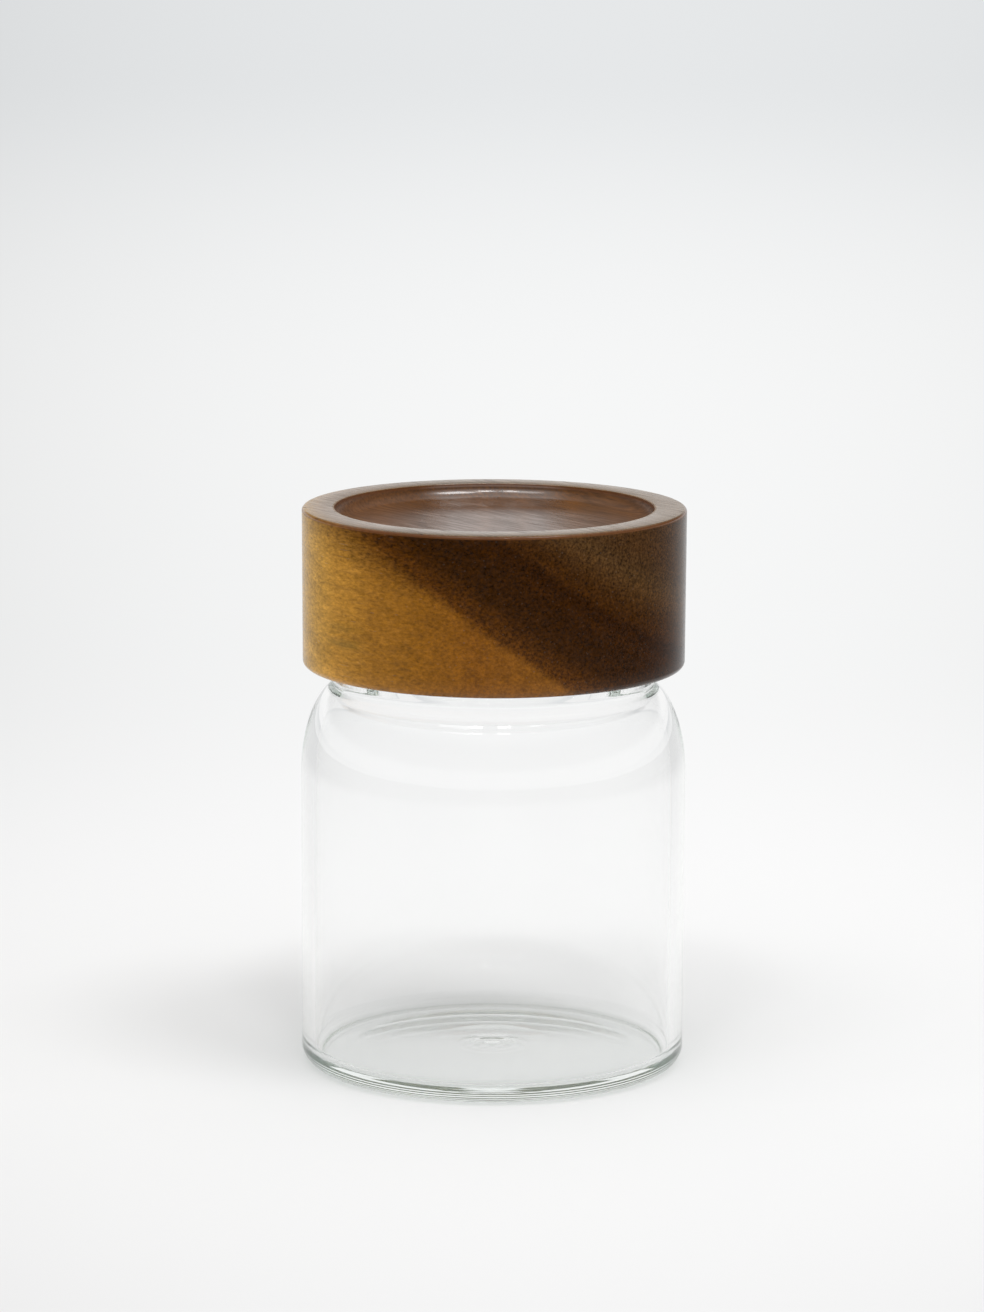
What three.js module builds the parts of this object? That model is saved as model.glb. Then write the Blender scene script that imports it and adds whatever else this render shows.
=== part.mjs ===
// Screw-top storage jar: a moulded glass jar, a turned wooden lid, the moulded thread liner that is
// glued into the lid, and the soft ring that seals the lid on the jar's rim.
// Millimetres, +Z up. The origin is the centre of the base, on the surface that the jar stands on.

import * as THREE from 'three';

// Overall
const overallHeight = 95;
const jarDiameter = 65;

// Wooden lid
const lidHeight = 26.75;
const lidInset = 0.2; // how far the lid's side lies inside the jar's side
const lidSideTaper = 0.1; // how much the side draws in towards its lower edge
const lidSkirtWall = 2.35; // wood left around the socket, at the lower edge
const lidPlateThickness = 7; // wood between the dish and the socket
const lidTopRound = 0.55;
const lidBottomRound = 1;
const socketChamfer = 0.4;
const rimWidth = 5.45; // flat ring around the dish
const dishDepth = 1.9;
const dishLip = 0.65; // upright part of the dish's side
const dishLipRound = 0.3;
const coveWidth = 4.2; // hollow curve between the lip and the dish's floor

// Thread liner
const linerWall = 1.1;
const linerPlate = 1.2;
const linerRecess = 2; // how far its open end stays up inside the lid
const linerEdgeRound = 0.5;
const threadRoom = 1.45; // radial room for the thread between the neck and the liner

// Seal ring
const sealThickness = 1.8;
const sealReach = 0.4; // how far the ring reaches inside the neck's bore
const sealEdgeRound = 0.4;

// Glass jar
const wall = 2.4;
const neckShow = 2.05; // bare upright height between the shoulder and the lid
const neckFillet = 2.5; // hollow round at the root of the neck
const lipRound = 0.9;
const shoulderHeight = 16.2;
const shoulderLean = 47; // degrees from upright, where the shoulder leans most
const floorThickness = 2.4;
const floorFillet = 2;
const heelRound = 2.8;
const footWidth = 4.6; // flat ring that the jar stands on
const kickRise = 0.4; // how far the underside rises at its centre

// Clearances
const glueGap = 0.1; // between the lid's socket and the liner
const sealSideGap = 0.2; // around the seal ring, inside the liner
const sealTopGap = 0.1; // between the liner's plate and the seal ring
const rimGap = 0.3; // between the seal ring and the jar's rim

// Fineness of the turned surfaces
const sides = 64;
const chordError = 0.05;
const samePoint = 1e-6;

const quarter = Math.PI / 2;

// Radii, worked inwards from the jar's side through the closure to the neck
const jarRadius = jarDiameter / 2;
const jarBore = jarRadius - wall;
const lidRadius = jarRadius - lidInset;
const lidFootRadius = lidRadius - lidSideTaper;
const socketRadius = lidFootRadius - lidSkirtWall;
const linerRadius = socketRadius - glueGap;
const linerBore = linerRadius - linerWall;
const neckRadius = linerBore - threadRoom;
const neckBore = neckRadius - wall;
const sealRadius = linerBore - sealSideGap;
const sealBore = neckBore - sealReach;
const dishRadius = lidRadius - rimWidth;

// Heights above the lid's lower edge, worked down from the dish to the jar's rim
const dishFloor = lidHeight - dishDepth;
const socketTop = dishFloor - lidPlateThickness;
const linerTop = socketTop - glueGap;
const linerCeiling = linerTop - linerPlate;
const sealTop = linerCeiling - sealTopGap;
const sealBottom = sealTop - sealThickness;

// Heights above the base
const lidBottom = overallHeight - lidHeight;
const jarRim = lidBottom + sealBottom - rimGap;
const neckRoot = lidBottom - neckShow;
const shoulderStart = neckRoot - shoulderHeight;

// Straight steps that a run of an outline is divided into, so that no step strays from a curve
// by more than the chord error.
function stepsOf(curve) {
  if (!curve.isEllipseCurve) return 1;
  const sweep = Math.abs(curve.aEndAngle - curve.aStartAngle);
  const radius = Math.max(curve.xRadius, curve.yRadius);
  return Math.max(2, Math.ceil(sweep / (2 * Math.acos(1 - chordError / radius))));
}

// Points of an outline in the half plane of radius and height, with a point where two runs meet
// kept once.
function outlinePoints(path) {
  const points = [];
  for (const curve of path.curves) {
    for (const point of curve.getPoints(stepsOf(curve))) {
      const last = points.at(-1);
      if (!last || last.distanceTo(point) > samePoint) points.push(point);
    }
  }
  return points;
}

// A piece turned from an outline that runs counter-clockwise, with the axis upright.
function turned(name, path, material) {
  const geometry = new THREE.LatheGeometry(outlinePoints(path), sides);
  geometry.rotateX(quarter);
  const mesh = new THREE.Mesh(geometry, material);
  mesh.name = name;
  return mesh;
}

// Shoulder: part of an upright oval that starts on the straight wall and leans in until it meets the
// hollow round at the neck's root, where both lean alike. The inner oval lies a wall deeper at both ends.
function shoulder(rootRadius, lean) {
  const across = jarRadius - rootRadius + neckFillet * Math.cos(lean);
  const rise = shoulderHeight - neckFillet * Math.sin(lean);
  const end = Math.acos(1 / ((rise * Math.tan(lean)) / across - 1));
  const outer = new THREE.Vector2(across / (1 - Math.cos(end)), rise / Math.sin(end));

  const innerWidth = outer.x - wall;
  const reach = Math.hypot(outer.x * Math.cos(lean), outer.y * Math.sin(lean)) - wall;
  const innerHeight = Math.sqrt(reach ** 2 - (innerWidth * Math.cos(lean)) ** 2) / Math.sin(lean);
  const inner = new THREE.Vector2(innerWidth, innerHeight);
  const innerEnd = Math.atan2(Math.tan(lean) * inner.y, inner.x);

  return { centre: jarRadius - outer.x, outer, end, inner, innerEnd };
}

// Glass jar: from the centre of the underside out over the foot, up the outside to the rim, and
// down the inside to the centre of the floor. The neck's root and the shoulder keep their wall.
function glassJar() {
  const footRadius = jarRadius - heelRound;
  const kickEdge = footRadius - footWidth;
  const kickRadius = (kickEdge ** 2 + kickRise ** 2) / (2 * kickRise);
  const kickSweep = Math.asin(kickEdge / kickRadius);
  const rootRadius = neckRadius + neckFillet;
  const lean = THREE.MathUtils.degToRad(shoulderLean);
  const { centre, outer, end, inner, innerEnd } = shoulder(rootRadius, lean);
  const lip = Math.min(lipRound, wall / 2);

  const outline = new THREE.Path()
    .moveTo(0, kickRise)
    .absarc(0, kickRise - kickRadius, kickRadius, quarter, quarter - kickSweep, true)
    .absarc(footRadius, heelRound, heelRound, -quarter, 0, false)
    .absellipse(centre, shoulderStart, outer.x, outer.y, 0, end, false)
    .absarc(rootRadius, neckRoot, neckFillet, lean - Math.PI, -Math.PI, true)
    .absarc(neckRadius - lip, jarRim - lip, lip, 0, quarter, false)
    .absarc(neckBore + lip, jarRim - lip, lip, quarter, Math.PI, false)
    .absarc(rootRadius, neckRoot, neckFillet + wall, Math.PI, Math.PI + lean, false)
    .absellipse(centre, shoulderStart, inner.x, inner.y, innerEnd, 0, true)
    .absarc(jarBore - floorFillet, floorThickness + floorFillet, floorFillet, 0, -quarter, true)
    .lineTo(0, floorThickness);

  const glass = new THREE.MeshStandardMaterial({
    color: 0xe8efec,
    roughness: 0.05,
    metalness: 0,
    transparent: true,
    opacity: 0.35,
  });
  return turned('glass_jar', outline, glass);
}

// Wooden lid: from the centre of the socket's ceiling down the socket, around the outside and over
// the rim into the dish.
function woodenLid() {
  const footRadius = lidFootRadius - lidBottomRound;
  const coveStart = lidHeight - dishLip;

  const outline = new THREE.Path()
    .moveTo(0, socketTop)
    .lineTo(socketRadius, socketTop)
    .lineTo(socketRadius, socketChamfer)
    .lineTo(socketRadius + socketChamfer, 0)
    .absarc(footRadius, lidBottomRound, lidBottomRound, -quarter, 0, false)
    .absarc(lidRadius - lidTopRound, lidHeight - lidTopRound, lidTopRound, 0, quarter, false)
    .absarc(dishRadius + dishLipRound, lidHeight - dishLipRound, dishLipRound, quarter, Math.PI, false)
    .absellipse(dishRadius - coveWidth, coveStart, coveWidth, dishDepth - dishLip, 0, -quarter, true)
    .lineTo(0, dishFloor);

  const wood = new THREE.MeshStandardMaterial({ color: 0x7d4c26, roughness: 0.5, metalness: 0 });
  return turned('wooden_lid', outline, wood);
}

// Thread liner: a thin cup, open downwards, that fills the socket above its recess.
function threadLiner() {
  const outline = new THREE.Path()
    .moveTo(0, linerCeiling)
    .lineTo(linerBore, linerCeiling)
    .lineTo(linerBore, linerRecess)
    .lineTo(linerRadius, linerRecess)
    .absarc(linerRadius - linerEdgeRound, linerTop - linerEdgeRound, linerEdgeRound, 0, quarter, false)
    .lineTo(0, linerTop);

  const plastic = new THREE.MeshStandardMaterial({ color: 0xe4e0d6, roughness: 0.45, metalness: 0 });
  return turned('thread_liner', outline, plastic);
}

// Seal ring: a flat ring with rounded edges, under the liner's plate and over the jar's rim.
function sealRing() {
  const round = sealEdgeRound;
  const middle = (sealBore + sealRadius) / 2;
  const outline = new THREE.Path()
    .moveTo(middle, sealBottom)
    .lineTo(sealRadius - round, sealBottom)
    .absarc(sealRadius - round, sealBottom + round, round, -quarter, 0, false)
    .absarc(sealRadius - round, sealTop - round, round, 0, quarter, false)
    .absarc(sealBore + round, sealTop - round, round, quarter, Math.PI, false)
    .absarc(sealBore + round, sealBottom + round, round, Math.PI, 3 * quarter, false)
    .lineTo(middle, sealBottom);

  const silicone = new THREE.MeshStandardMaterial({ color: 0xd9d8d2, roughness: 0.6, metalness: 0 });
  return turned('seal_ring', outline, silicone);
}

const closure = new THREE.Group();
closure.add(woodenLid(), threadLiner(), sealRing());
closure.position.z = lidBottom;

const jar = new THREE.Group();
jar.add(glassJar(), closure);

export default jar;
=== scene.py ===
# Screw-top glass jar with a turned wooden lid: the finished pieces, their materials and the stage.
# Metres, +Z up, with the origin at the centre of the base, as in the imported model.

import math

import bpy
from bpy.props import FloatProperty, FloatVectorProperty, PointerProperty
from bpy.types import Operator, Panel, PropertyGroup
from mathutils import Matrix, Vector


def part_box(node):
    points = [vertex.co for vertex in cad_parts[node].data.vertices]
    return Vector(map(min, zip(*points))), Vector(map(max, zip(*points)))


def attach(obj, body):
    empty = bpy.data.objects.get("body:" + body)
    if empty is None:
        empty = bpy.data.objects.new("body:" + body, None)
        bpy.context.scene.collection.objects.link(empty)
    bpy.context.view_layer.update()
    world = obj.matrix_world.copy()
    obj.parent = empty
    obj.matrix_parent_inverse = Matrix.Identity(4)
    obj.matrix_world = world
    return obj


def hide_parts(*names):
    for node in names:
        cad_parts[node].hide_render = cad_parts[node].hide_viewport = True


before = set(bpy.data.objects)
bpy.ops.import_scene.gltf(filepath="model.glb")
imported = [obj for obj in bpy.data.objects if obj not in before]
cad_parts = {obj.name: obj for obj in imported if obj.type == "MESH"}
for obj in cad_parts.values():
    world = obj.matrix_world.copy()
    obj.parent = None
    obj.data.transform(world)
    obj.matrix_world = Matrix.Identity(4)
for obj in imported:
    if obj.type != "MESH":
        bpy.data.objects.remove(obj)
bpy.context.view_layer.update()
JAR_LOW, JAR_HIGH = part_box("glass_jar")
LID_LOW, LID_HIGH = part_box("wooden_lid")
LINER_LOW, LINER_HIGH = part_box("thread_liner")
SEAL_LOW, SEAL_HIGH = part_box("seal_ring")

bl_info = {
    "name": "Screw-top jar",
    "version": (1, 0, 0),
    "blender": (4, 5, 0),
    "location": "View3D > Sidebar > Jar",
    "description": "Models and dresses a glass jar with a turned wooden screw lid",
    "category": "Object",
}

MM = 0.001
SAME_POINT = 1e-7
MERGE_DISTANCE = 10 * SAME_POINT

# Steps of a full turn
TURN_STEPS = 192
LID_STEPS = 240

# Threads: the angle over which an end runs out, the crest's width to the root's, and how far a vertex
# may lie off the wall that carries the thread
THREAD_FADE = math.radians(40)
THREAD_CREST = 0.42
THREAD_BAND = 0.05 * MM

# Wood: the direction across the growth rings, and the spans in millimetres that the tones are laid over
RING_DIRECTION = (0.5806, 0, 0.8143)
RING_SPAN = (60, 96)
WIDTH_SPAN = (-33, 33)

# Stage: distances from the jar's axis over which the floor becomes the backdrop and the backdrop darkens
BACKDROP_START = (0.12, 0.45)
BACKDROP_SPAN = (0.7, 2.6)

# Stage: how the light falls off to the sides. A slope is a distance aside to the distance from the camera,
# which is taken as no less than the nearest one.
CAMERA_DISTANCE = 0.83
NEAREST_DISTANCE = 0.6
BRIGHTEST_SLOPE = 0.022
SQUARED_SLOPE = 0.02

# Stage: upward slopes over which the room's walls begin and end, the share of their light that mirrored
# rays lose, and the brightness of the backdrop beyond the floor
WALLS_BEGIN = (0.15, 0.27)
WALLS_END = (0.45, 0.7)
MIRRORED_LOSS = 0.7
BEYOND_FLOOR = 0.88


def length(name, description, default):
    """A size in metres that a user may change."""
    return FloatProperty(name=name, description=description, default=default, unit="LENGTH", precision=5)


def number(name, description, default, unit="NONE"):
    """A plain value that a user may change."""
    return FloatProperty(name=name, description=description, default=default, unit=unit)


def colour(name, description, default):
    """A linear colour that a user may change."""
    return FloatVectorProperty(
        name=name, description=description, default=default, size=3, min=0, max=1, subtype="COLOR"
    )


def angle(name, description, degrees):
    """An angle that a user may change."""
    return FloatProperty(
        name=name, description=description, default=math.radians(degrees), unit="ROTATION", subtype="ANGLE"
    )


class JarSettings(PropertyGroup):
    """Sizes and glass of the jar."""

    radius: length("Radius", "Outside of the straight wall", JAR_HIGH.x)
    rim: length("Rim height", "Top of the neck above the base", JAR_HIGH.z)
    wall: length("Wall", "Thickness of the side and the neck", 2.4 * MM)
    neck: length("Neck radius", "Outside of the neck, without its thread", 27.2 * MM)
    neck_root: length("Neck root", "Height where the neck becomes upright", 66.2 * MM)
    neck_fillet: length("Neck fillet", "Hollow round at the root of the neck", 2.5 * MM)
    root_rise: number("Root rise", "Height to width of the round inside the neck's root", 3)
    lip: length("Lip round", "Round of the rim's edges", 0.9 * MM)
    shoulder_start: length("Shoulder start", "Height where the wall begins to lean in", 50 * MM)
    shoulder_lean: angle("Shoulder lean", "Lean of the shoulder from upright, where it is most", 47)
    floor: length("Floor", "Height of the inside floor", 2.4 * MM)
    floor_fillet: length("Floor fillet", "Round between the inside wall and the floor", 2 * MM)
    heel: length("Heel round", "Round between the outside wall and the foot", 2.8 * MM)
    foot: length("Foot width", "Flat ring that the jar stands on", 4.6 * MM)
    kick: length("Kick", "Rise of the underside at its centre", 0.4 * MM)
    dimple_radius: length("Dimple radius", "Reach of the mark left where the base was sealed", 7.2 * MM)
    dimple_depth: length("Dimple depth", "Depth of that mark in the floor", 0.12 * MM)
    ripple_height: length("Ripple height", "Height of that mark's waves", 0.012 * MM)
    ripple_pitch: length("Ripple pitch", "Distance between that mark's waves", 2.2 * MM)
    thread_height: length("Thread height", "How far the thread stands out of the neck", 1.05 * MM)
    thread_start: length("Thread start", "Height of the thread's lower end", 71 * MM)
    thread_turns: number("Thread turns", "Length of the thread", 1.9)
    thread_lead: length("Thread lead", "Climb of the thread in one turn", 5 * MM)
    thread_width: length("Thread width", "Width of the thread at its root", 2.2 * MM)
    tint: colour("Tint", "Colour that thick glass takes on", (0.92, 0.955, 0.935))
    density: number("Density", "How fast thick glass takes on its tint", 16)
    face_shadow: colour("Face shadow", "Light that glass lets through face on", (0.968, 0.971, 0.969))
    edge_shadow: colour("Edge shadow", "Light that glass lets through edge on", (0.74, 0.76, 0.75))


class LidSettings(PropertyGroup):
    """Sizes and wood of the lid."""

    radius: length("Radius", "Outside of the lid at its top", LID_HIGH.x)
    bottom: length("Lower edge", "Height of the lid's lower edge", LID_LOW.z)
    top: length("Top", "Height of the lid's rim", LID_HIGH.z)
    taper: length("Taper", "How much the side draws in towards its lower edge", 0.1 * MM)
    socket: length("Socket radius", "Bore that the liner is glued into", 29.85 * MM)
    socket_top: length("Socket top", "Height of the socket's ceiling", 86.1 * MM)
    socket_chamfer: length("Socket chamfer", "Bevel at the mouth of the socket", 0.4 * MM)
    top_round: length("Top round", "Round of the rim's outer edge", 0.55 * MM)
    bottom_round: length("Bottom round", "Round of the lower edge", 1 * MM)
    rim: length("Rim width", "Flat ring around the dish", 5.45 * MM)
    dish_depth: length("Dish depth", "Depth of the dish", 2.4 * MM)
    dish_lip: length("Dish lip", "Upright part of the dish's side", 0.15 * MM)
    lip_round: length("Lip round", "Round of the dish's upper edge", 0.14 * MM)
    cove: length("Cove width", "Hollow curve between the lip and the dish's floor", 2.4 * MM)
    fibre_angle: angle("Fibre angle", "Turn of the fibres about the upright axis, from Y", 38)
    ring_sway: length("Ring sway", "How far the growth rings wander", 1.2 * MM)
    ring_tear: length("Ring tear", "How far single fibres break the growth rings", 1.3 * MM)
    sap_edge: length("Sapwood edge", "Distance of the sapwood's edge along the ring direction", 63.7 * MM)
    sap_depth: number("Sapwood depth", "How fast the sapwood ends inwards", 0.8)
    soft_edge: length("Soft edge", "Softness of the sapwood's edge at the left", 4.8 * MM)
    crisp_edge: length("Crisp edge", "Softness of the sapwood's edge at the right", 0.9 * MM)
    edge_bend: length("Edge bend", "How much further the heartwood reaches at the left", 3.4 * MM)
    smudge_tone: colour("Smudge", "Greenish mineral smudge", (0.125, 0.085, 0.018))
    dish_tone: colour("Dish", "Warm wood of the dish", (0.150, 0.056, 0.0110))
    # Painted sheen: a paler colour laid over the rim's flat.
    painted_rim_sheen: colour("Rim", "Rim's wood painted paler with a painted sheen", (0.33, 0.205, 0.090))
    # Painted light: a reddish band for the light that the rounded edges catch.
    lit_edge_tone: colour("Edges", "Reddish painted light on the rim's rounded edges", (0.17, 0.055, 0.010))
    pore_tone: colour("Pores", "Dark bottom of the open pores", (0.02, 0.009, 0.003))


class LinerSettings(PropertyGroup):
    """Sizes and plastic of the thread liner."""

    radius: length("Radius", "Outside of the liner", LINER_HIGH.x)
    bottom: length("Open end", "Height of the liner's open end", LINER_LOW.z)
    top: length("Top", "Height of the liner's closed end", LINER_HIGH.z)
    wall: length("Wall", "Thickness of the liner's side", 1.1 * MM)
    plate: length("Plate", "Thickness of the liner's closed end", 1.2 * MM)
    edge_round: length("Edge round", "Round of the closed end's edge", 0.5 * MM)
    mouth_round: length("Mouth round", "Round of the open end's edges", 0.2 * MM)
    thread_height: length("Thread height", "How far the thread stands into the bore", 0.95 * MM)
    thread_turns: number("Thread turns", "Length of the thread", 1.4)
    thread_drop: length("Thread drop", "How far the thread runs below the neck's thread", 2.3 * MM)
    thread_width: length("Thread width", "Width of the thread at its root", 2 * MM)
    plastic: colour("Plastic", "Natural moulded plastic", (0.66, 0.62, 0.53))


class SealSettings(PropertyGroup):
    """Sizes and rubber of the seal ring."""

    radius: length("Radius", "Outside of the ring", SEAL_HIGH.x)
    bore: length("Bore", "Inside of the ring", 24.4 * MM)
    bottom: length("Underside", "Height of the ring's underside", SEAL_LOW.z)
    top: length("Top", "Height of the ring's top", SEAL_HIGH.z)
    edge_round: length("Edge round", "Round of the ring's edges", 0.4 * MM)
    seat_depth: length("Seat depth", "Depth of the trace that the jar's rim leaves", 0.12 * MM)
    rubber: colour("Rubber", "Milky soft rubber", (0.62, 0.62, 0.57))


class StageSettings(PropertyGroup):
    """Floor, light and camera."""

    floor_reach: length("Floor reach", "Half the width of the floor", 12)
    floor_drop: length("Floor drop", "Gap between the floor and the object's lowest points", 0.05 * MM)
    floor_shade: colour("Floor", "Floor around the object, which takes its shadow", (0.91, 0.91, 0.91))
    backdrop_near: colour("Backdrop near", "Backdrop close behind the object", (0.925, 0.93, 0.93))
    backdrop_far: colour("Backdrop far", "Backdrop far away", (0.79, 0.805, 0.815))
    sky: colour("Surroundings", "Pale surroundings", (0.93, 0.93, 0.93))
    walls: number("Walls", "Brightness of the room between backdrop and ceiling", 0.6)
    lamp_power: number("Lamp power", "Power of the weaker small lamp", 0.6, "POWER")
    lamp_width: length("Lamp width", "Width of each small lamp", 0.12)
    soft_power: number("Soft power", "Power of the stronger soft box", 2.2, "POWER")
    soft_width: length("Soft width", "Width of each soft box", 0.34)
    lamp_distance: length("Lamp distance", "Distance of the lamps from the object", 1.2)
    camera_place: FloatVectorProperty(
        name="Camera place",
        description="Where the camera stands",
        default=(-0.0003, -0.8293, 0.2213),
        size=3,
        subtype="TRANSLATION",
        unit="LENGTH",
    )
    camera_pitch: number("Camera pitch", "How far the camera looks down", 0.181, "ROTATION")
    camera_roll: number("Camera roll", "How far the camera leans", 0.0042, "ROTATION")
    camera_lens: number("Lens", "Focal length in millimetres", 137.2)
    camera_film: number("Film width", "Width of the picture in the camera, in millimetres", 36)


# Outlines, in radius and height

def arc(centre, radii, start, end, steps):
    """Points of part of an ellipse, from one angle to another in degrees."""
    turns = [math.radians(start + (end - start) * step / steps) for step in range(steps + 1)]
    return [
        (centre[0] + radii[0] * math.cos(turn), centre[1] + radii[1] * math.sin(turn)) for turn in turns
    ]


def fillet(centre, radius, start, end, steps):
    """Points of part of a circle, from one angle to another in degrees."""
    return arc(centre, (radius, radius), start, end, steps)


def run(start, end, steps):
    """Points of a straight run, both ends included."""
    return [
        (start[0] + (end[0] - start[0]) * step / steps, start[1] + (end[1] - start[1]) * step / steps)
        for step in range(steps + 1)
    ]


def joined(*runs):
    """One outline of several runs, with a point where two meet kept once."""
    points = []
    for part in runs:
        for point in part:
            if not points or math.dist(points[-1], point) > SAME_POINT:
                points.append(point)
    return points


# Modelling

def start_point(name, place):
    """Begins a new object as a single point in edit mode."""
    if bpy.context.mode != "OBJECT":
        bpy.ops.object.mode_set(mode="OBJECT")
    bpy.ops.object.select_all(action="DESELECT")
    bpy.ops.mesh.primitive_plane_add(size=MM, location=(0, 0, 0))
    piece = bpy.context.object
    piece.name = name
    piece.data.name = name
    bpy.ops.object.mode_set(mode="EDIT")
    bpy.ops.mesh.select_mode(type="VERT")
    bpy.ops.mesh.select_all(action="SELECT")
    bpy.ops.mesh.merge(type="CENTER")
    bpy.ops.transform.translate(value=(place[0], 0, place[1]))
    return piece


def turned(name, outline, steps, closed=False):
    """Draws an outline point by point, spins it about the upright axis and closes its seam and poles."""
    piece = start_point(name, outline[0])
    for before, after in zip(outline, outline[1:]):
        move = (after[0] - before[0], 0, after[1] - before[1])
        bpy.ops.mesh.extrude_region_move(TRANSFORM_OT_translate={"value": move})
    bpy.ops.mesh.select_all(action="SELECT")
    if closed:
        bpy.ops.mesh.remove_doubles(threshold=MERGE_DISTANCE)
        bpy.ops.mesh.select_all(action="SELECT")
    bpy.ops.mesh.spin(steps=steps, angle=2 * math.pi, center=(0, 0, 0), axis=(0, 0, 1))
    bpy.ops.mesh.select_all(action="SELECT")
    bpy.ops.mesh.remove_doubles(threshold=MERGE_DISTANCE)
    bpy.ops.mesh.normals_make_consistent(inside=False)
    bpy.ops.object.mode_set(mode="OBJECT")
    return piece


def chosen(piece):
    """Makes a piece the active one and the only one selected."""
    bpy.ops.object.select_all(action="DESELECT")
    piece.select_set(True)
    bpy.context.view_layer.objects.active = piece


def smoothed(piece, degrees):
    """Shades a piece smooth, but for edges sharper than an angle."""
    chosen(piece)
    bpy.ops.object.shade_smooth_by_angle(angle=math.radians(degrees))


def ridge(across, root, crest):
    """Height, from 0 to 1, of a thread's rounded section at a distance from its middle."""
    slope = (root / 2 - abs(across)) / ((root - crest) / 2)
    slope = min(max(slope, 0), 1)
    return slope * slope * (3 - 2 * slope)


def threaded(piece, radius, start, turns, lead, width, height):
    """Raises a right-hand thread on the vertices of the wall at a radius."""
    group = piece.vertex_groups.new(name="thread")
    full_turn = 2 * math.pi
    sweep = turns * full_turn
    for vertex in piece.data.vertices:
        if abs(math.hypot(vertex.co.x, vertex.co.y) - radius) > THREAD_BAND:
            continue
        around = math.atan2(vertex.co.y, vertex.co.x) % full_turn
        weight = 0
        while around < sweep:
            run_out = min(1, around / THREAD_FADE, (sweep - around) / THREAD_FADE)
            across = vertex.co.z - start - lead * around / full_turn
            weight = max(weight, run_out * ridge(across, width, width * THREAD_CREST))
            around += full_turn
        if weight:
            group.add([vertex.index], weight, "REPLACE")
    chosen(piece)
    push = piece.modifiers.new("Thread", "DISPLACE")
    push.direction = "NORMAL"
    push.mid_level = 0
    push.strength = height
    push.vertex_group = group.name
    bpy.ops.object.modifier_apply(modifier=push.name)
    piece.vertex_groups.clear()


def dressed(piece, material, body, node):
    """Gives a finished piece its material and its body, and hides the solid that it stands for."""
    piece.data.materials.clear()
    piece.data.materials.append(material)
    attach(piece, body)
    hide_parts(node)
    return piece


# Nodes

def put(tree, kind, inputs=None, **settings):
    """Adds a node, with its settings, values and links."""
    node = tree.nodes.new(kind)
    for key, value in settings.items():
        setattr(node, key, value)
    for key, value in (inputs or {}).items():
        if isinstance(value, bpy.types.NodeSocket):
            tree.links.new(value, node.inputs[key])
        else:
            node.inputs[key].default_value = value
    return node


def maths(tree, operation, first, second=0.0, clamp=False):
    """Result of a sum on one or two values."""
    node = put(tree, "ShaderNodeMath", {0: first, 1: second}, operation=operation, use_clamp=clamp)
    return node.outputs[0]


def plus(tree, first, second):
    """Two values added."""
    return maths(tree, "ADD", first, second)


def less(tree, first, second):
    """A value with a second one taken off."""
    return maths(tree, "SUBTRACT", first, second)


def times(tree, first, second):
    """Two values multiplied."""
    return maths(tree, "MULTIPLY", first, second)


def larger(tree, first, second):
    """The larger of two values."""
    return maths(tree, "MAXIMUM", first, second)


def remap(tree, value, low, high, to_low=0.0, to_high=1.0, soft=False):
    """A value carried from one range to another and held there."""
    node = put(
        tree,
        "ShaderNodeMapRange",
        {"Value": value, "From Min": low, "From Max": high, "To Min": to_low, "To Max": to_high},
        interpolation_type="SMOOTHSTEP" if soft else "LINEAR",
    )
    return node.outputs["Result"]


def distance(tree, vector):
    """Length of a vector."""
    return put(tree, "ShaderNodeVectorMath", {0: vector}, operation="LENGTH").outputs["Value"]


def axes(tree, vector):
    """The X, Y and Z of a vector."""
    return put(tree, "ShaderNodeSeparateXYZ", {"Vector": vector}).outputs


def noise(tree, vector, scale, detail=2.0, roughness=0.5):
    """Cloudy noise from 0 to 1."""
    node = put(
        tree,
        "ShaderNodeTexNoise",
        {"Vector": vector, "Scale": scale, "Detail": detail, "Roughness": roughness},
    )
    return node.outputs["Fac"]


def blend(tree, factor, first, second, kind="MIX"):
    """Two colours mixed by a factor."""
    node = put(tree, "ShaderNodeMix", {0: factor, 6: first, 7: second}, data_type="RGBA", blend_type=kind)
    return node.outputs[2]


def tinted(tree, shade, factor):
    """A colour multiplied by a value."""
    return blend(tree, 1.0, shade, factor, "MULTIPLY")


def opaque(shade):
    """A colour with full alpha, as sockets take it."""
    return (*shade, 1)


def toned(tree, value, span, tones):
    """A colour read off tones that lie at places in millimetres within a span."""
    low, high = span
    node = put(tree, "ShaderNodeValToRGB", {"Fac": remap(tree, value, low * MM, high * MM)})
    row = node.color_ramp.elements
    while len(row) < len(tones):
        row.new(0.5)
    for element, (place, shade) in zip(row, tones):
        element.position = (place - low) / (high - low)
        element.color = opaque(shade)
    return node.outputs["Color"]


def mixed(tree, factor, first, second):
    """Two shaders mixed by a factor."""
    return put(tree, "ShaderNodeMixShader", {0: factor, 1: first, 2: second}).outputs["Shader"]


def rays(tree):
    """What kind of ray looks at a surface."""
    return put(tree, "ShaderNodeLightPath").outputs


def seen_rays(tree):
    """One for the rays that look at the backdrop, straight or by way of a gloss or a glass."""
    light = rays(tree)
    mirrored = larger(tree, light["Is Glossy Ray"], light["Is Transmission Ray"])
    return larger(tree, light["Is Camera Ray"], mirrored)


def dimmed(tree, share):
    """Brightness left for a mirrored ray where a share of the light is held back."""
    light = rays(tree)
    mirrored = maths(tree, "SUBTRACT", light["Is Glossy Ray"], light["Is Transmission Ray"], clamp=True)
    return less(tree, 1.0, times(tree, share, mirrored))


def new_material(name):
    """An empty node material and its tree."""
    material = bpy.data.materials.new(name)
    material.use_nodes = True
    material.node_tree.nodes.clear()
    return material, material.node_tree


def object_place(tree):
    """Object coordinates, in metres."""
    return put(tree, "ShaderNodeTexCoord").outputs["Object"]


# Materials

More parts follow.
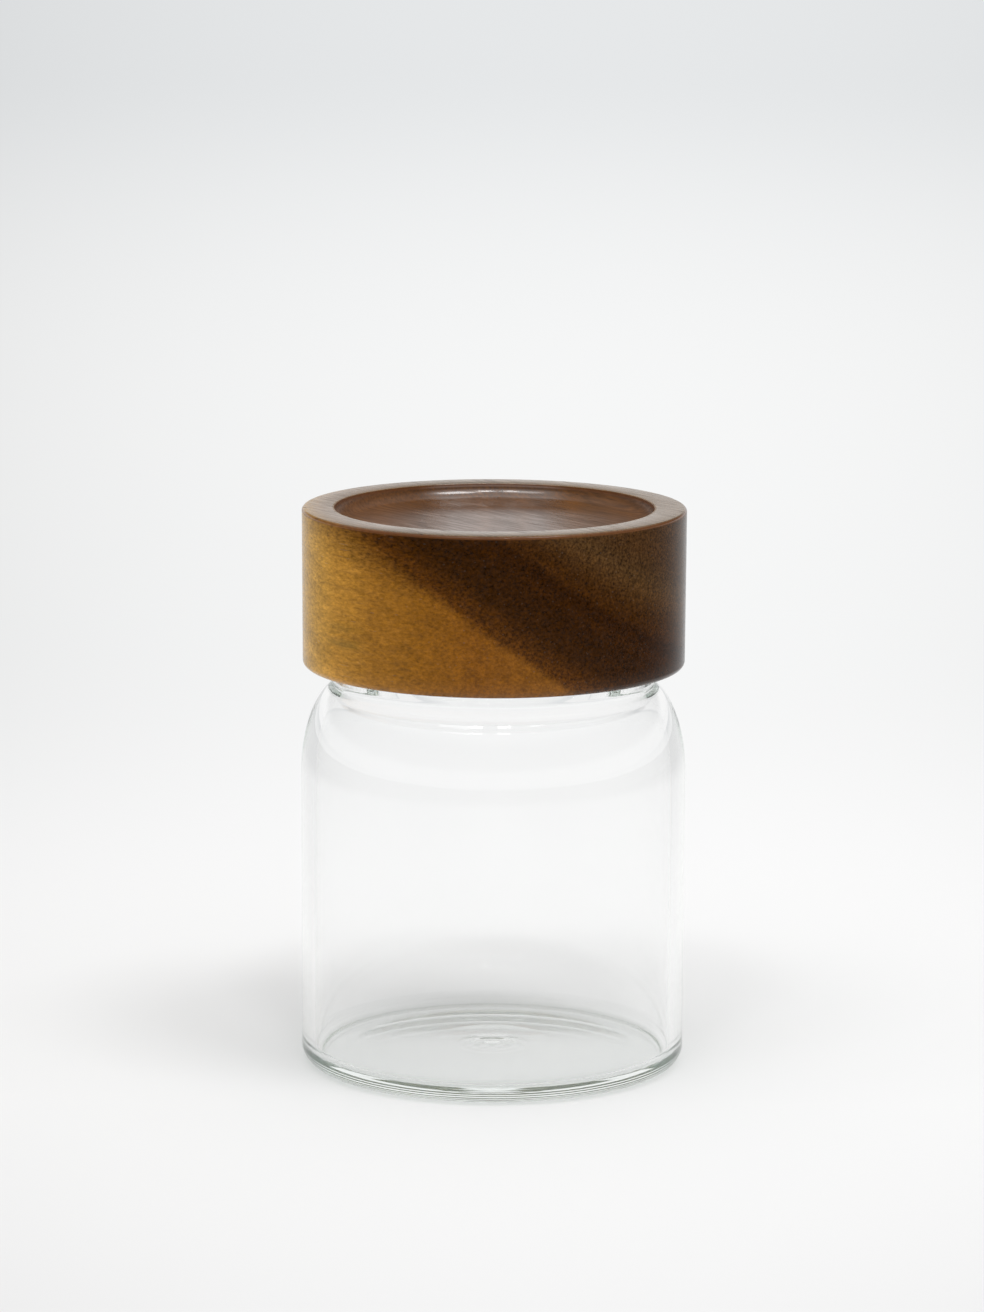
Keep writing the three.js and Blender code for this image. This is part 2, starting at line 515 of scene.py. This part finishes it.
def moulded_skin():
    """Node group: the faint mottling, gloss changes and fine skin of moulded plastic and rubber."""
    name = "Moulded skin"
    if name in bpy.data.node_groups:
        return bpy.data.node_groups[name]
    tree = bpy.data.node_groups.new(name, "ShaderNodeTree")
    for socket, side, kind in (
        ("Colour", "INPUT", "NodeSocketColor"),
        ("Mottling", "INPUT", "NodeSocketFloat"),
        ("Gloss low", "INPUT", "NodeSocketFloat"),
        ("Gloss high", "INPUT", "NodeSocketFloat"),
        ("Skin scale", "INPUT", "NodeSocketFloat"),
        ("Colour", "OUTPUT", "NodeSocketColor"),
        ("Roughness", "OUTPUT", "NodeSocketFloat"),
        ("Height", "OUTPUT", "NodeSocketFloat"),
    ):
        tree.interface.new_socket(socket, in_out=side, socket_type=kind)
    given = tree.nodes.new("NodeGroupInput").outputs
    place = object_place(tree)
    clouds = noise(tree, place, 140, 4, 0.55)
    skin = noise(tree, place, given["Skin scale"], 2, 0.6)
    lift = times(tree, less(tree, clouds, 0.5), given["Mottling"])
    shade = put(
        tree, "ShaderNodeHueSaturation", {"Value": plus(tree, lift, 1.0), "Color": given["Colour"]}
    )
    gloss = remap(tree, clouds, 0.3, 0.7, given["Gloss low"], given["Gloss high"])
    put(tree, "NodeGroupOutput", {"Colour": shade.outputs["Color"], "Roughness": gloss, "Height": skin})
    return tree


def skinned_material(name, shade, mottling, gloss, skin_scale, bump, subsurface):
    """Moulded plastic or rubber on the shared skin."""
    material, tree = new_material(name)
    skin = put(
        tree,
        "ShaderNodeGroup",
        {
            "Colour": opaque(shade),
            "Mottling": mottling,
            "Gloss low": gloss[0],
            "Gloss high": gloss[1],
            "Skin scale": skin_scale,
        },
        node_tree=moulded_skin(),
    ).outputs
    relief = put(tree, "ShaderNodeBump", {"Strength": 0.5, "Distance": bump, "Height": skin["Height"]})
    surface = put(
        tree,
        "ShaderNodeBsdfPrincipled",
        {
            "Base Color": skin["Colour"],
            "Roughness": skin["Roughness"],
            "Normal": relief.outputs["Normal"],
            "Subsurface Weight": subsurface,
            "Subsurface Radius": (1.0, 0.9, 0.7),
            "Subsurface Scale": 0.6 * MM,
        },
    )
    put(tree, "ShaderNodeOutputMaterial", {"Surface": surface.outputs["BSDF"]})
    return material


def clear_glass(settings):
    """Fire-polished glass: faint waves and smears, a trace of colour where it is thick."""
    material, tree = new_material("Clear glass")
    place = object_place(tree)
    waves = noise(tree, place, 60, 1, 0.4)
    smears = noise(tree, place, 90, 5, 0.6)
    relief = put(tree, "ShaderNodeBump", {"Strength": 0.06, "Distance": 0.2 * MM, "Height": waves})
    glass = put(
        tree,
        "ShaderNodeBsdfPrincipled",
        {
            "Base Color": (1, 1, 1, 1),
            "Roughness": remap(tree, smears, 0.35, 0.75, 0.0, 0.012),
            "IOR": 1.48,
            "Transmission Weight": 1.0,
            "Normal": relief.outputs["Normal"],
        },
    )

    # Light that makes shadows or comes off a matt surface passes straight on, less of it edge on.
    edge = put(tree, "ShaderNodeLayerWeight", {"Blend": 0.35}).outputs["Facing"]
    passed = blend(tree, edge, opaque(settings.face_shadow), opaque(settings.edge_shadow))
    through = put(tree, "ShaderNodeBsdfTransparent", {"Color": passed})
    light = rays(tree)
    straight = larger(tree, light["Is Shadow Ray"], light["Is Diffuse Ray"])
    surface = mixed(tree, straight, glass.outputs["BSDF"], through.outputs["BSDF"])
    depth = put(
        tree, "ShaderNodeVolumeAbsorption", {"Color": opaque(settings.tint), "Density": settings.density}
    )
    put(tree, "ShaderNodeOutputMaterial", {"Surface": surface, "Volume": depth.outputs["Volume"]})
    return material


def two_toned_wood(settings):
    """Turned hardwood: amber sapwood against dark heartwood, with growth bands, fibres and open pores."""
    material, tree = new_material("Turned hardwood")
    place = object_place(tree)
    turn = (0, 0, settings.fibre_angle)

    def along(stretch):
        """Coordinates drawn out along the fibres."""
        return put(
            tree,
            "ShaderNodeMapping",
            {"Vector": place, "Rotation": turn, "Scale": (1, stretch, 1)},
            vector_type="TEXTURE",
        ).outputs["Vector"]

    ring = put(
        tree, "ShaderNodeVectorMath", {0: place, 1: RING_DIRECTION}, operation="DOT_PRODUCT"
    ).outputs["Value"]
    sway = times(tree, less(tree, noise(tree, along(5), 55, 2), 0.5), settings.ring_sway)
    tear = times(tree, less(tree, noise(tree, along(12), 900, 3, 0.65), 0.5), settings.ring_tear)
    growth = plus(tree, plus(tree, ring, sway), tear)

    # The sapwood lies near the outside. Its edge is crisp at the right and melts away towards the left,
    # where the heartwood reaches further.
    across = axes(tree, place)
    softness = remap(
        tree, across["X"], -26 * MM, -6 * MM, settings.soft_edge, settings.crisp_edge, soft=True
    )
    flat = put(tree, "ShaderNodeVectorMath", {0: place, 1: (1, 1, 0)}, operation="MULTIPLY")
    radius = distance(tree, flat.outputs["Vector"])
    depth = times(tree, less(tree, settings.radius, radius), settings.sap_depth)
    edge = less(tree, plus(tree, growth, depth), settings.sap_edge)
    edge = plus(tree, edge, remap(tree, across["X"], -28 * MM, -8 * MM, settings.edge_bend, 0.0))
    heart = remap(tree, maths(tree, "DIVIDE", edge, softness), -1.0, 1.0, soft=True)

    # Growth bands follow the ring direction. The sapwood is painted paler towards the left: partly its own
    # tone, partly painted light and sheen from that side.
    bands = put(
        tree,
        "ShaderNodeTexNoise",
        {"W": growth, "Scale": 330.0, "Detail": 3.0, "Roughness": 0.55},
        noise_dimensions="1D",
    ).outputs["Fac"]
    sap_tone_and_side_light = toned(
        tree,
        across["X"],
        WIDTH_SPAN,
        [
            (-32, (0.575, 0.326, 0.053)),
            (-26, (0.49, 0.237, 0.035)),
            (-20, (0.322, 0.139, 0.0165)),
            (-12, (0.252, 0.099, 0.0083)),
            (-3, (0.206, 0.073, 0.0056)),
            (12, (0.205, 0.076, 0.0071)),
        ],
    )
    heart_shade = toned(
        tree,
        growth,
        RING_SPAN,
        [
            (64.8, (0.078, 0.0252, 0.0019)),
            (67.3, (0.054, 0.0170, 0.0011)),
            (69.7, (0.0335, 0.0103, 0.0006)),
            (73.0, (0.0324, 0.0098, 0.0006)),
            (76.6, (0.0310, 0.0090, 0.0005)),
            (79.5, (0.058, 0.0200, 0.0023)),
            (84.5, (0.075, 0.0360, 0.0110)),
            (88.5, (0.062, 0.0270, 0.0080)),
        ],
    )
    heart_bands = remap(tree, bands, 0.25, 0.75, 0.82, 1.2)
    sap_bands = remap(tree, bands, 0.25, 0.75, 0.92, 1.08)
    shade = blend(tree, heart, tinted(tree, sap_tone_and_side_light, sap_bands), tinted(tree, heart_shade, heart_bands))

    # Fine fibres, which show as specks where they are cut across, and longer streaks.
    specks = noise(tree, along(3), 2300, 3, 0.7)
    streaks = noise(tree, along(20), 620, 3, 0.6)
    contrast = remap(tree, heart, 0.0, 1.0, 0.34, 0.7)
    speck = times(tree, remap(tree, specks, 0.3, 0.7, -1.0, 1.0), contrast)
    grain = times(tree, plus(tree, speck, 1.0), remap(tree, streaks, 0.3, 0.7, 0.84, 1.16))
    shade = tinted(tree, shade, grain)

    # Open pores: dark dashes along the fibres.
    cells = put(tree, "ShaderNodeTexVoronoi", {"Vector": along(13), "Scale": 1050.0, "Randomness": 1.0})
    scattered = remap(tree, noise(tree, along(6), 420, 2), 0.38, 0.58)
    pores = times(tree, remap(tree, cells.outputs["Distance"], 0.06, 0.16, 1.0, 0.0), scattered)

    # A greenish mineral smudge in the sapwood.
    smudge_place = put(
        tree,
        "ShaderNodeMapping",
        {
            "Vector": place,
            "Location": (-24.5 * MM, -20.5 * MM, 76.3 * MM),
            "Rotation": turn,
            "Scale": (9 * MM, 8 * MM, 3.1 * MM),
        },
        vector_type="TEXTURE",
    ).outputs["Vector"]
    smudge = times(
        tree,
        remap(tree, distance(tree, smudge_place), 0.35, 1.0, 1.0, 0.0, soft=True),
        remap(tree, noise(tree, along(9), 620, 3, 0.6), 0.38, 0.62),
    )
    shade = blend(tree, times(tree, smudge, 0.6), shade, opaque(settings.smudge_tone))

    # The dish is a warmer tone. The rim's flat is painted paler with a painted sheen, and its rounded edges
    # are painted reddish with painted light.
    level = less(tree, across["Z"], settings.top)
    dish = settings.radius - settings.rim
    inside = times(
        tree,
        remap(tree, radius, dish, dish + 0.4 * MM, 1.0, 0.0),
        remap(tree, level, -3 * MM, -2.5 * MM),
    )
    fibres = remap(tree, noise(tree, along(22), 2400, 3, 0.65), 0.35, 0.65, 0.6, 1.25)
    warm = tinted(tree, opaque(settings.dish_tone), times(tree, fibres, heart_bands))
    shade = blend(tree, times(tree, inside, 0.72), shade, warm)
    # Painted sheen on the rim's flat.
    rim_sheen_share = remap(tree, level, -0.12 * MM, -0.02 * MM, 0.0, 0.45, soft=True)
    shade = blend(tree, rim_sheen_share, shade, tinted(tree, opaque(settings.painted_rim_sheen), fibres))
    # Painted light: the rounded edges are painted reddish for the light they catch.
    edges = times(
        tree,
        remap(tree, level, -0.7 * MM, -0.4 * MM, 0.0, 0.6, soft=True),
        remap(tree, level, -0.12 * MM, -0.04 * MM, 1.0, 0.0, soft=True),
    )
    shade = blend(tree, edges, shade, opaque(settings.lit_edge_tone))

    # The pores show less on the side than on the rim and in the dish.
    shown = remap(tree, level, -3.2 * MM, -2.4 * MM, 0.3, 0.9)
    shade = blend(tree, times(tree, pores, shown), shade, opaque(settings.pore_tone))
    height = less(tree, times(tree, specks, 0.35), times(tree, pores, 0.6))
    relief = put(tree, "ShaderNodeBump", {"Strength": 0.18, "Distance": 0.05 * MM, "Height": height})
    rough = plus(tree, remap(tree, fibres, 0.6, 1.25, 0.24, 0.12), times(tree, pores, 0.5))

    # The dish is duller towards both sides, and its cove is lacquered in the middle.
    aside = maths(tree, "ABSOLUTE", across["X"])
    dull = times(tree, inside, remap(tree, aside, 7 * MM, 19 * MM, 0.0, 0.25))
    cove_edge = dish - settings.cove
    lacquer = times(tree, inside, remap(tree, radius, cove_edge, cove_edge + 0.6 * MM))
    lacquer = times(tree, lacquer, remap(tree, aside, 8 * MM, 14 * MM, 1.0, 0.0, soft=True))
    wood = put(
        tree,
        "ShaderNodeBsdfPrincipled",
        {
            "Base Color": shade,
            "Roughness": plus(tree, rough, dull),
            "IOR": 1.5,
            "Specular IOR Level": 0.32,
            "Coat Weight": lacquer,
            "Coat Roughness": 0.18,
            "Coat IOR": 1.8,
            "Normal": relief.outputs["Normal"],
        },
    )
    put(tree, "ShaderNodeOutputMaterial", {"Surface": wood.outputs["BSDF"]})
    return material


def studio_floor(settings):
    """Plain pale floor that takes the shadow near the object and turns into a pale backdrop far away."""
    material, tree = new_material("Pale floor")
    place = object_place(tree)
    far = distance(tree, place)
    shade = blend(
        tree,
        remap(tree, far, *BACKDROP_SPAN, soft=True),
        opaque(settings.backdrop_near),
        opaque(settings.backdrop_far),
    )

    # Both fall off a little to the sides, and the floor a little towards the camera.
    spot = axes(tree, place)
    depth = larger(tree, plus(tree, spot["Y"], CAMERA_DISTANCE), NEAREST_DISTANCE)
    slope = maths(tree, "DIVIDE", spot["X"], depth)
    aside = maths(tree, "POWER", less(tree, slope, BRIGHTEST_SLOPE), 2.0)
    strength = remap(tree, aside, 0.0, SQUARED_SLOPE, 1.0, 0.87)
    plain = put(tree, "ShaderNodeEmission", {"Color": shade, "Strength": strength})
    fall = times(
        tree,
        remap(tree, spot["Y"], -0.16, -0.03, 0.89, 1.0),
        remap(tree, aside, 0.0, SQUARED_SLOPE, 1.0, 0.93),
    )
    near_shade = tinted(tree, opaque(settings.floor_shade), fall)
    near = put(tree, "ShaderNodeBsdfDiffuse", {"Color": near_shade, "Roughness": 0.3})
    plainly = times(tree, remap(tree, far, *BACKDROP_START, soft=True), seen_rays(tree))
    floor = mixed(tree, plainly, near.outputs["BSDF"], plain.outputs["Emission"])

    # To mirrored rays the floor away from the object is dark towards the camera and pale behind it.
    way = put(tree, "ShaderNodeVectorMath", {0: place}, operation="NORMALIZE").outputs["Vector"]
    lit = maths(tree, "POWER", remap(tree, axes(tree, way)["Y"], -0.1, 1.05), 2.0)
    hidden = times(tree, less(tree, 1.0, lit), remap(tree, far, 0.22, 0.42, soft=True))
    dark = put(tree, "ShaderNodeEmission", {"Strength": 0.0})
    surface = mixed(tree, dimmed(tree, hidden), dark.outputs["Emission"], floor)
    put(tree, "ShaderNodeOutputMaterial", {"Surface": surface})
    return material


def studio_world(settings):
    """Pale room with darker walls, which mirrored rays see darker still and rays through glass don't see."""
    world = bpy.data.worlds.new("Soft studio")
    world.use_nodes = True
    tree = world.node_tree
    tree.nodes.clear()
    height = axes(tree, put(tree, "ShaderNodeTexCoord").outputs["Generated"])["Z"]
    walls = times(
        tree,
        remap(tree, height, *WALLS_BEGIN, soft=True),
        remap(tree, height, *WALLS_END, 1.0, 0.0, soft=True),
    )
    level = less(tree, 1.0, times(tree, walls, 1.0 - settings.walls))
    level = times(tree, level, dimmed(tree, times(tree, walls, MIRRORED_LOSS)))
    light = rays(tree)
    level = larger(tree, level, light["Is Transmission Ray"])
    room = put(tree, "ShaderNodeBackground", {"Color": opaque(settings.sky), "Strength": level})
    plain = put(
        tree, "ShaderNodeBackground", {"Color": opaque(settings.backdrop_far), "Strength": BEYOND_FLOOR}
    )
    surface = mixed(
        tree, light["Is Camera Ray"], room.outputs["Background"], plain.outputs["Background"]
    )
    put(tree, "ShaderNodeOutputWorld", {"Surface": surface})
    return world


# Pieces

class JAR_OT_glass(Operator):
    """Blows the glass jar: kicked base, straight wall, rounded shoulder and threaded neck"""

    bl_idname = "jar.glass"
    bl_label = "Glass jar"

    def execute(self, context):
        jar = context.scene.jar_glass
        bore = jar.radius - jar.wall
        neck_bore = jar.neck - jar.wall
        foot = jar.radius - jar.heel
        kick_edge = foot - jar.foot
        floor_edge = bore - jar.floor_fillet
        lip_height = jar.rim - jar.lip

        # The shoulder is part of an oval that leans in until it meets the hollow round at the neck's
        # root, where both lean alike.
        lean = jar.shoulder_lean
        root = (jar.neck + jar.neck_fillet, jar.neck_root)
        turn = 180 + math.degrees(lean)
        across = jar.radius - root[0] + jar.neck_fillet * math.cos(lean)
        rise = root[1] - jar.neck_fillet * math.sin(lean) - jar.shoulder_start
        end = math.acos(1 / (rise * math.tan(lean) / across - 1))
        outer = (across / (1 - math.cos(end)), rise / math.sin(end))
        oval = (jar.radius - outer[0], jar.shoulder_start)

        # Inside, the oval lies a wall's thickness deeper, and the round it meets is taller than wide.
        reach = math.hypot(outer[0] * math.cos(lean), outer[1] * math.sin(lean)) - jar.wall
        width = outer[0] - jar.wall
        inner = (width, math.sqrt(reach ** 2 - (width * math.cos(lean)) ** 2) / math.sin(lean))
        inner_end = math.atan2(math.tan(lean) * inner[1], inner[0])
        joint = (oval[0] + inner[0] * math.cos(inner_end), oval[1] + inner[1] * math.sin(inner_end))
        swing = math.atan(jar.root_rise * math.tan(lean))
        hollow_width = (joint[0] - neck_bore) / (1 - math.cos(swing))
        hollow = (hollow_width, hollow_width * jar.root_rise)
        inner_root = (neck_bore + hollow[0], joint[1] + hollow[1] * math.sin(swing))

        def dimpled(radius):
            """Height of the floor, with the waves of the sealing mark in its dimple."""
            near = max(0, 1 - (radius / jar.dimple_radius) ** 2)
            wave = math.cos(2 * math.pi * radius / jar.ripple_pitch)
            return jar.floor - jar.dimple_depth * near ** 2 + jar.ripple_height * near * wave

        under = [
            (radius, jar.kick * (1 - (radius / kick_edge) ** 2))
            for radius, _ in run((0, 0), (kick_edge, 0), 24)
        ]
        dimple = [(radius, dimpled(radius)) for radius, _ in run((jar.dimple_radius, 0), (0, 0), 48)]
        outline = joined(
            under,
            fillet((foot, jar.heel), jar.heel, -90, 0, 14),
            arc(oval, outer, 0, math.degrees(end), 30),
            fillet(root, jar.neck_fillet, turn, 180, 12),
            run((jar.neck, jar.neck_root), (jar.neck, lip_height), 72),
            fillet((jar.neck - jar.lip, lip_height), jar.lip, 0, 90, 7),
            fillet((neck_bore + jar.lip, lip_height), jar.lip, 90, 180, 7),
            arc(inner_root, hollow, 180, 180 + math.degrees(swing), 20),
            arc(oval, inner, math.degrees(inner_end), 0, 30),
            fillet((floor_edge, jar.floor + jar.floor_fillet), jar.floor_fillet, 0, -90, 16),
            run((floor_edge, jar.floor), (jar.dimple_radius, jar.floor), 12),
            dimple,
        )
        piece = turned("clear_jar", outline, TURN_STEPS)
        threaded(
            piece,
            jar.neck,
            jar.thread_start,
            jar.thread_turns,
            jar.thread_lead,
            jar.thread_width,
            jar.thread_height,
        )
        smoothed(piece, 60)
        dressed(piece, clear_glass(jar), "jar", "glass_jar")
        return {"FINISHED"}


class JAR_OT_lid(Operator):
    """Turns the wooden lid: socket, rounded edges, flat rim and coved dish"""

    bl_idname = "jar.lid"
    bl_label = "Wooden lid"

    def execute(self, context):
        lid = context.scene.jar_lid
        foot = lid.radius - lid.taper
        foot_height = lid.bottom + lid.bottom_round
        side_top = lid.top - lid.top_round
        dish = lid.radius - lid.rim
        dish_floor = lid.top - lid.dish_depth
        cove_edge = dish - lid.cove
        cove_top = lid.top - lid.dish_lip
        outline = joined(
            run((0, lid.socket_top), (lid.socket, lid.socket_top), 12),
            run((lid.socket, lid.socket_top), (lid.socket, lid.bottom + lid.socket_chamfer), 8),
            [(lid.socket + lid.socket_chamfer, lid.bottom)],
            fillet((foot - lid.bottom_round, foot_height), lid.bottom_round, -90, 0, 10),
            run((foot, foot_height), (lid.radius, side_top), 12),
            fillet((lid.radius - lid.top_round, side_top), lid.top_round, 0, 90, 9),
            fillet((dish + lid.lip_round, lid.top - lid.lip_round), lid.lip_round, 90, 180, 7),
            arc((cove_edge, cove_top), (lid.cove, lid.dish_depth - lid.dish_lip), 0, -90, 22),
            run((cove_edge, dish_floor), (0, dish_floor), 12),
        )
        piece = turned("turned_lid", outline, LID_STEPS)
        smoothed(piece, 40)
        dressed(piece, two_toned_wood(lid), "lid", "wooden_lid")
        return {"FINISHED"}


class JAR_OT_liner(Operator):
    """Moulds the thread liner: a thin cup with an inside thread"""

    bl_idname = "jar.liner"
    bl_label = "Thread liner"

    def execute(self, context):
        liner = context.scene.jar_liner
        neck = context.scene.jar_glass
        bore = liner.radius - liner.wall
        ceiling = liner.top - liner.plate
        mouth = liner.bottom + liner.mouth_round
        edge = (liner.radius - liner.edge_round, liner.top - liner.edge_round)
        outline = joined(
            run((0, ceiling), (bore, ceiling), 10),
            run((bore, ceiling), (bore, mouth), 80),
            fillet((bore + liner.mouth_round, mouth), liner.mouth_round, 180, 270, 4),
            fillet((liner.radius - liner.mouth_round, mouth), liner.mouth_round, -90, 0, 4),
            fillet(edge, liner.edge_round, 0, 90, 8),
            run((edge[0], liner.top), (0, liner.top), 10),
        )
        piece = turned("moulded_liner", outline, TURN_STEPS)
        threaded(
            piece,
            bore,
            neck.thread_start + neck.thread_lead - liner.thread_drop,
            liner.thread_turns,
            neck.thread_lead,
            liner.thread_width,
            liner.thread_height,
        )
        smoothed(piece, 40)
        material = skinned_material(
            "Moulded plastic",
            liner.plastic,
            mottling=0.12,
            gloss=(0.36, 0.5),
            skin_scale=4200,
            bump=0.03 * MM,
            subsurface=0.25,
        )
        dressed(piece, material, "lid", "thread_liner")
        return {"FINISHED"}


class JAR_OT_seal(Operator):
    """Moulds the seal ring, with the trace of the jar's rim in its underside"""

    bl_idname = "jar.seal"
    bl_label = "Seal ring"

    def execute(self, context):
        seal = context.scene.jar_seal
        neck = context.scene.jar_glass
        seat = neck.neck - neck.wall / 2
        edge = seal.edge_round
        outside = seal.radius - edge
        inside = seal.bore + edge

        def underside(radius):
            """Height of the underside, with the rim's trace."""
            near = max(0, 1 - ((radius - seat) / (neck.wall * 0.5)) ** 2)
            return seal.bottom + seal.seat_depth * near

        across = run((inside, seal.bottom), (outside, seal.bottom), 24)
        outline = joined(
            [(radius, underside(radius)) for radius, _ in across],
            fillet((outside, seal.bottom + edge), edge, -90, 0, 6),
            fillet((outside, seal.top - edge), edge, 0, 90, 6),
            fillet((inside, seal.top - edge), edge, 90, 180, 6),
            fillet((inside, seal.bottom + edge), edge, 180, 270, 6),
        )
        piece = turned("soft_ring", outline, TURN_STEPS, closed=True)
        smoothed(piece, 40)
        material = skinned_material(
            "Milky rubber",
            seal.rubber,
            mottling=0.08,
            gloss=(0.5, 0.62),
            skin_scale=2600,
            bump=0.04 * MM,
            subsurface=0.35,
        )
        dressed(piece, material, "seal", "seal_ring")
        return {"FINISHED"}


class JAR_OT_stage(Operator):
    """Lays the pale floor and sets the soft light and the camera"""

    bl_idname = "jar.stage"
    bl_label = "Stage"

    def execute(self, context):
        stage = context.scene.jar_stage
        bpy.ops.object.select_all(action="DESELECT")
        bpy.ops.mesh.primitive_plane_add(size=2 * stage.floor_reach, location=(0, 0, -stage.floor_drop))
        floor = context.object
        floor.name = "studio_floor"
        floor.data.materials.append(studio_floor(stage))

        for name, azimuth, elevation, width, power in (
            ("lamp_left", -16, 60, stage.lamp_width, stage.lamp_power),
            ("lamp_right", 10, 61, stage.lamp_width, stage.lamp_power * 1.5),
            ("soft_left", -35, 63, stage.soft_width, stage.soft_power * 0.35),
            ("soft_right", 50, 66, stage.soft_width, stage.soft_power),
        ):
            turn = math.radians(azimuth)
            lift = math.radians(elevation)
            aside = math.cos(lift)
            way = Vector((math.sin(turn) * aside, -math.cos(turn) * aside, math.sin(lift)))
            bpy.ops.object.light_add(type="AREA", location=way * stage.lamp_distance)
            lamp = context.object
            lamp.name = name
            lamp.rotation_euler = way.to_track_quat("Z", "Y").to_euler()
            lamp.data.shape = "SQUARE"
            lamp.data.size = width
            lamp.data.energy = power

        bpy.ops.object.camera_add()
        camera = context.object
        camera.name = "photo_camera"
        camera.data.lens = stage.camera_lens
        camera.data.sensor_width = stage.camera_film
        camera.data.clip_start = 0.01
        camera.data.clip_end = 100
        camera.matrix_world = (
            Matrix.Translation(stage.camera_place)
            @ Matrix.Rotation(math.pi / 2 - stage.camera_pitch, 4, "X")
            @ Matrix.Rotation(stage.camera_roll, 4, "Z")
        )
        context.scene.camera = camera
        context.scene.world = studio_world(stage)
        context.scene.view_settings.view_transform = "Standard"
        context.scene.cycles.max_bounces = 96
        context.scene.cycles.glossy_bounces = 80
        context.scene.cycles.transmission_bounces = 32
        return {"FINISHED"}


class JAR_PT_panel(Panel):
    """Lists the pieces of the jar and its stage"""

    bl_idname = "JAR_PT_panel"
    bl_label = "Screw-top jar"
    bl_space_type = "VIEW_3D"
    bl_region_type = "UI"
    bl_category = "Jar"

    def draw(self, context):
        for operator in OPERATORS:
            self.layout.operator(operator.bl_idname)


SETTINGS = {
    "jar_glass": JarSettings,
    "jar_lid": LidSettings,
    "jar_liner": LinerSettings,
    "jar_seal": SealSettings,
    "jar_stage": StageSettings,
}
OPERATORS = (JAR_OT_glass, JAR_OT_lid, JAR_OT_liner, JAR_OT_seal, JAR_OT_stage)


def register():
    for name, group in SETTINGS.items():
        bpy.utils.register_class(group)
        setattr(bpy.types.Scene, name, PointerProperty(type=group))
    for operator in OPERATORS:
        bpy.utils.register_class(operator)
    bpy.utils.register_class(JAR_PT_panel)


def unregister():
    bpy.utils.unregister_class(JAR_PT_panel)
    for operator in reversed(OPERATORS):
        bpy.utils.unregister_class(operator)
    for name, group in reversed(SETTINGS.items()):
        delattr(bpy.types.Scene, name)
        bpy.utils.unregister_class(group)


def main():
    """Makes every piece and the stage."""
    register()
    bpy.ops.jar.glass()
    bpy.ops.jar.lid()
    bpy.ops.jar.liner()
    bpy.ops.jar.seal()
    bpy.ops.jar.stage()


if __name__ == "__main__":
    main()
